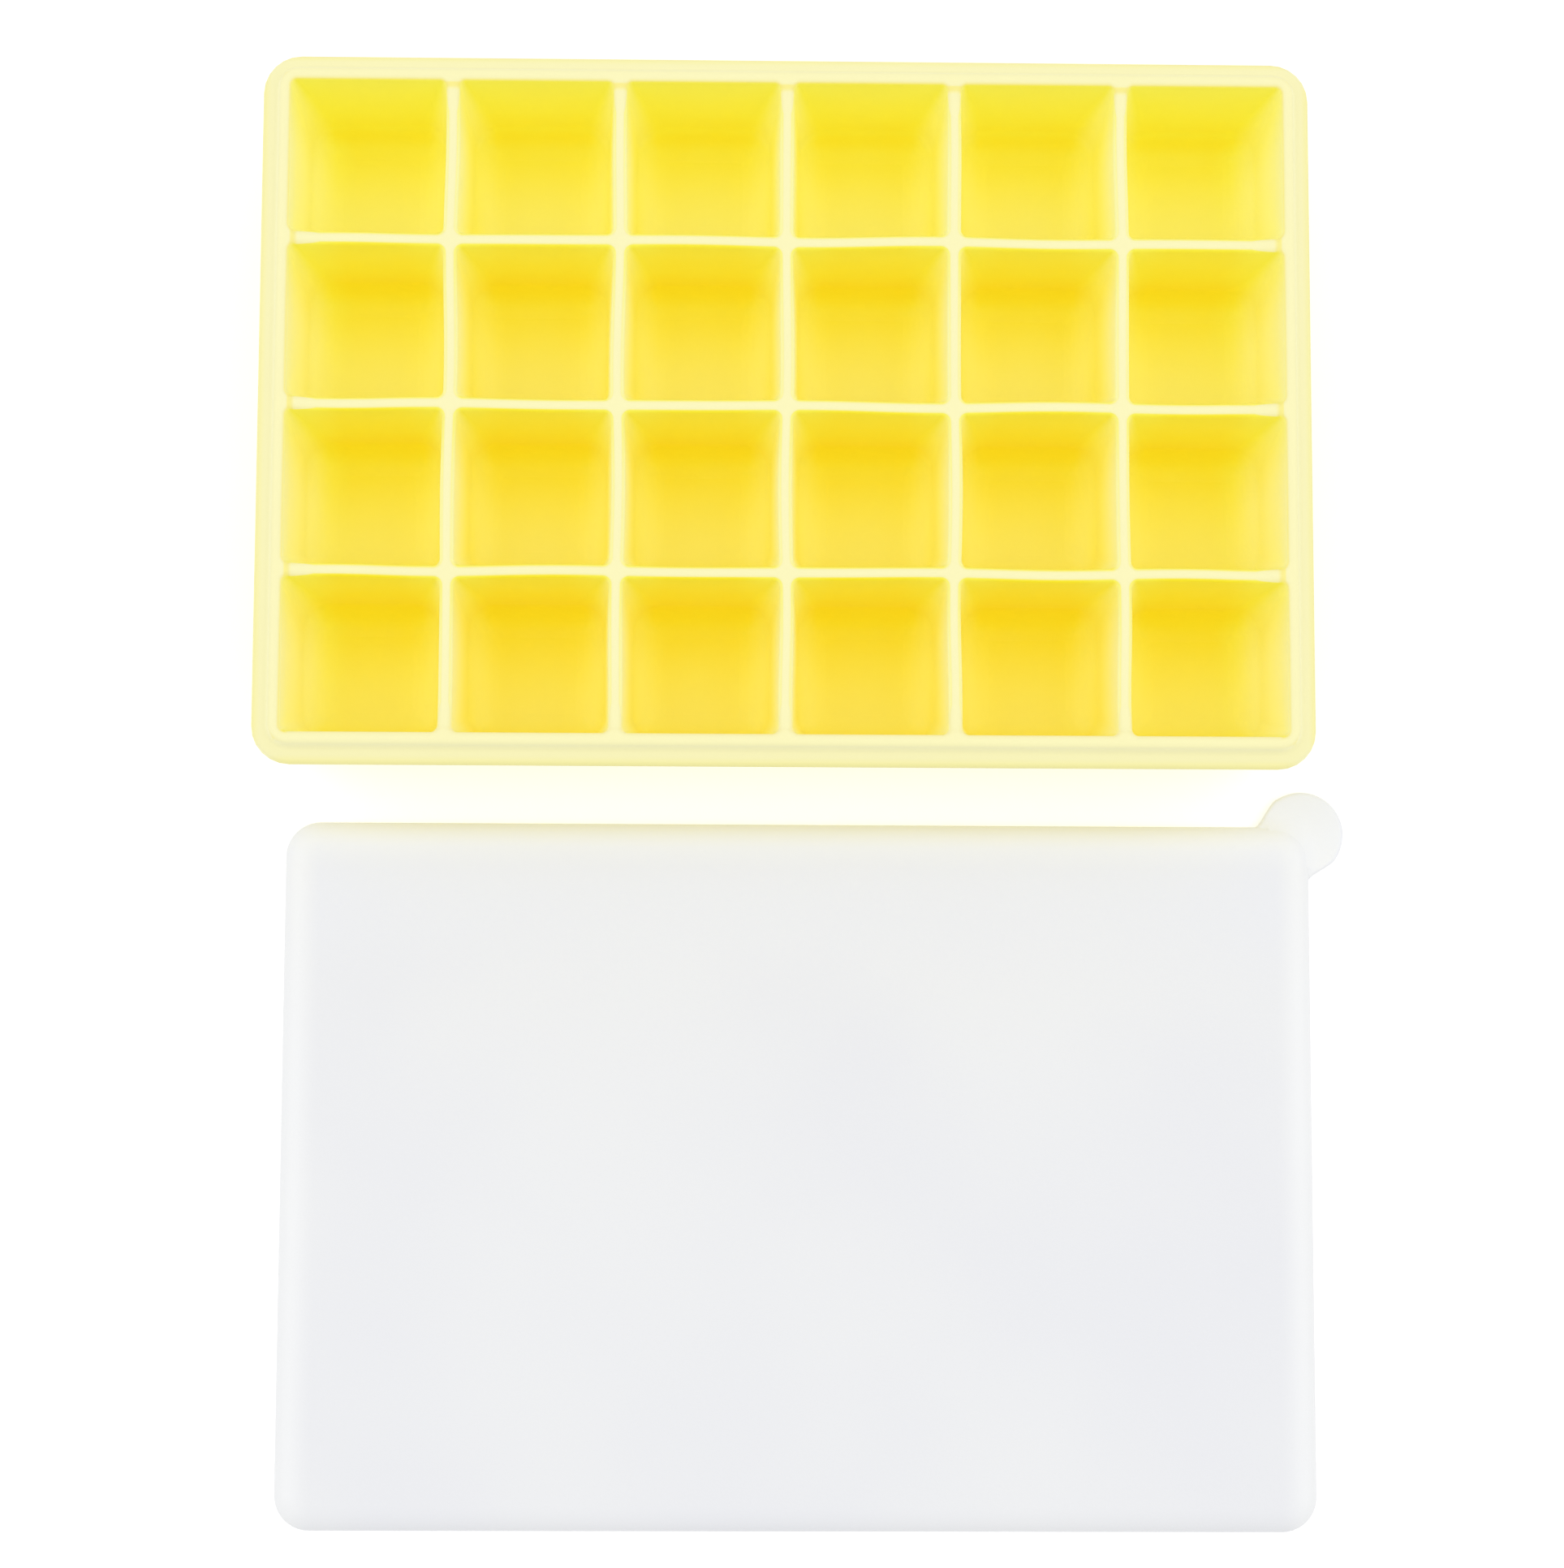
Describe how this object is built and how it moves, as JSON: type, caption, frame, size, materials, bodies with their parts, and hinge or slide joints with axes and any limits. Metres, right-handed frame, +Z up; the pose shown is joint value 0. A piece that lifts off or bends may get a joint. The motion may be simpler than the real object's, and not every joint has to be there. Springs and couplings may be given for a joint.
{
  "type": "silicone ice cube tray",
  "caption": "Soft ice cube tray with square cells in a grid, push-out cell floors, a raised sealing lip and a flat lid with a corner pull tab lying beside it.",
  "frame": {"origin": "centre of the tray's underside, on the surface that it stands on", "axes": "+Z up, +X along the tray's long side to the right, +Y from the lid towards the tray's rear"},
  "size_m": [0.1944, 0.2595, 0.03],
  "materials": {
    "tray": "matte",
    "lid": "satin"
  },
  "bodies": {
    "tray": {"tray_rim": "tray", "rear_wall": "tray", "front_wall": "tray", "left_wall": "tray", "right_wall": "tray", "long_divider_1": "tray", "long_divider_2": "tray", "long_divider_3": "tray", "cross_divider_1": "tray", "cross_divider_2": "tray", "cross_divider_3": "tray", "cross_divider_4": "tray", "cross_divider_5": "tray"},
    "lid": {"lid_panel": "lid", "lid_skirt": "lid"},
    "pull_tab": {"pull_tab": "lid"},
    "floor_r1_c1": {"cell_floor_r1_c1": "tray"},
    "floor_r1_c2": {"cell_floor_r1_c2": "tray"},
    "floor_r1_c3": {"cell_floor_r1_c3": "tray"},
    "floor_r1_c4": {"cell_floor_r1_c4": "tray"},
    "floor_r1_c5": {"cell_floor_r1_c5": "tray"},
    "floor_r1_c6": {"cell_floor_r1_c6": "tray"},
    "floor_r2_c1": {"cell_floor_r2_c1": "tray"},
    "floor_r2_c2": {"cell_floor_r2_c2": "tray"},
    "floor_r2_c3": {"cell_floor_r2_c3": "tray"},
    "floor_r2_c4": {"cell_floor_r2_c4": "tray"},
    "floor_r2_c5": {"cell_floor_r2_c5": "tray"},
    "floor_r2_c6": {"cell_floor_r2_c6": "tray"},
    "floor_r3_c1": {"cell_floor_r3_c1": "tray"},
    "floor_r3_c2": {"cell_floor_r3_c2": "tray"},
    "floor_r3_c3": {"cell_floor_r3_c3": "tray"},
    "floor_r3_c4": {"cell_floor_r3_c4": "tray"},
    "floor_r3_c5": {"cell_floor_r3_c5": "tray"},
    "floor_r3_c6": {"cell_floor_r3_c6": "tray"},
    "floor_r4_c1": {"cell_floor_r4_c1": "tray"},
    "floor_r4_c2": {"cell_floor_r4_c2": "tray"},
    "floor_r4_c3": {"cell_floor_r4_c3": "tray"},
    "floor_r4_c4": {"cell_floor_r4_c4": "tray"},
    "floor_r4_c5": {"cell_floor_r4_c5": "tray"},
    "floor_r4_c6": {"cell_floor_r4_c6": "tray"}
  },
  "joints": [
    {"name": "lid_lift", "type": "slide", "parent": "tray", "child": "lid", "axis": [0, 0, 1], "range_m": [0, 0.06]},
    {"name": "lid_tab_flex", "type": "hinge", "parent": "lid", "child": "pull_tab", "pos_m": [0.09416, -0.07191, 0.0012], "axis": [0.7071, -0.7071, 0], "range_deg": [0, 60], "stiffness_Nm_per_rad": 0.01},
    {"name": "push_r1_c1", "type": "slide", "parent": "tray", "child": "floor_r1_c1", "axis": [0, 0, 1], "range_m": [0, 0.006], "stiffness_N_per_m": 600},
    {"name": "push_r1_c2", "type": "slide", "parent": "tray", "child": "floor_r1_c2", "axis": [0, 0, 1], "range_m": [0, 0.006], "stiffness_N_per_m": 600},
    {"name": "push_r1_c3", "type": "slide", "parent": "tray", "child": "floor_r1_c3", "axis": [0, 0, 1], "range_m": [0, 0.006], "stiffness_N_per_m": 600},
    {"name": "push_r1_c4", "type": "slide", "parent": "tray", "child": "floor_r1_c4", "axis": [0, 0, 1], "range_m": [0, 0.006], "stiffness_N_per_m": 600},
    {"name": "push_r1_c5", "type": "slide", "parent": "tray", "child": "floor_r1_c5", "axis": [0, 0, 1], "range_m": [0, 0.006], "stiffness_N_per_m": 600},
    {"name": "push_r1_c6", "type": "slide", "parent": "tray", "child": "floor_r1_c6", "axis": [0, 0, 1], "range_m": [0, 0.006], "stiffness_N_per_m": 600},
    {"name": "push_r2_c1", "type": "slide", "parent": "tray", "child": "floor_r2_c1", "axis": [0, 0, 1], "range_m": [0, 0.006], "stiffness_N_per_m": 600},
    {"name": "push_r2_c2", "type": "slide", "parent": "tray", "child": "floor_r2_c2", "axis": [0, 0, 1], "range_m": [0, 0.006], "stiffness_N_per_m": 600},
    {"name": "push_r2_c3", "type": "slide", "parent": "tray", "child": "floor_r2_c3", "axis": [0, 0, 1], "range_m": [0, 0.006], "stiffness_N_per_m": 600},
    {"name": "push_r2_c4", "type": "slide", "parent": "tray", "child": "floor_r2_c4", "axis": [0, 0, 1], "range_m": [0, 0.006], "stiffness_N_per_m": 600},
    {"name": "push_r2_c5", "type": "slide", "parent": "tray", "child": "floor_r2_c5", "axis": [0, 0, 1], "range_m": [0, 0.006], "stiffness_N_per_m": 600},
    {"name": "push_r2_c6", "type": "slide", "parent": "tray", "child": "floor_r2_c6", "axis": [0, 0, 1], "range_m": [0, 0.006], "stiffness_N_per_m": 600},
    {"name": "push_r3_c1", "type": "slide", "parent": "tray", "child": "floor_r3_c1", "axis": [0, 0, 1], "range_m": [0, 0.006], "stiffness_N_per_m": 600},
    {"name": "push_r3_c2", "type": "slide", "parent": "tray", "child": "floor_r3_c2", "axis": [0, 0, 1], "range_m": [0, 0.006], "stiffness_N_per_m": 600},
    {"name": "push_r3_c3", "type": "slide", "parent": "tray", "child": "floor_r3_c3", "axis": [0, 0, 1], "range_m": [0, 0.006], "stiffness_N_per_m": 600},
    {"name": "push_r3_c4", "type": "slide", "parent": "tray", "child": "floor_r3_c4", "axis": [0, 0, 1], "range_m": [0, 0.006], "stiffness_N_per_m": 600},
    {"name": "push_r3_c5", "type": "slide", "parent": "tray", "child": "floor_r3_c5", "axis": [0, 0, 1], "range_m": [0, 0.006], "stiffness_N_per_m": 600},
    {"name": "push_r3_c6", "type": "slide", "parent": "tray", "child": "floor_r3_c6", "axis": [0, 0, 1], "range_m": [0, 0.006], "stiffness_N_per_m": 600},
    {"name": "push_r4_c1", "type": "slide", "parent": "tray", "child": "floor_r4_c1", "axis": [0, 0, 1], "range_m": [0, 0.006], "stiffness_N_per_m": 600},
    {"name": "push_r4_c2", "type": "slide", "parent": "tray", "child": "floor_r4_c2", "axis": [0, 0, 1], "range_m": [0, 0.006], "stiffness_N_per_m": 600},
    {"name": "push_r4_c3", "type": "slide", "parent": "tray", "child": "floor_r4_c3", "axis": [0, 0, 1], "range_m": [0, 0.006], "stiffness_N_per_m": 600},
    {"name": "push_r4_c4", "type": "slide", "parent": "tray", "child": "floor_r4_c4", "axis": [0, 0, 1], "range_m": [0, 0.006], "stiffness_N_per_m": 600},
    {"name": "push_r4_c5", "type": "slide", "parent": "tray", "child": "floor_r4_c5", "axis": [0, 0, 1], "range_m": [0, 0.006], "stiffness_N_per_m": 600},
    {"name": "push_r4_c6", "type": "slide", "parent": "tray", "child": "floor_r4_c6", "axis": [0, 0, 1], "range_m": [0, 0.006], "stiffness_N_per_m": 600}
  ]
}
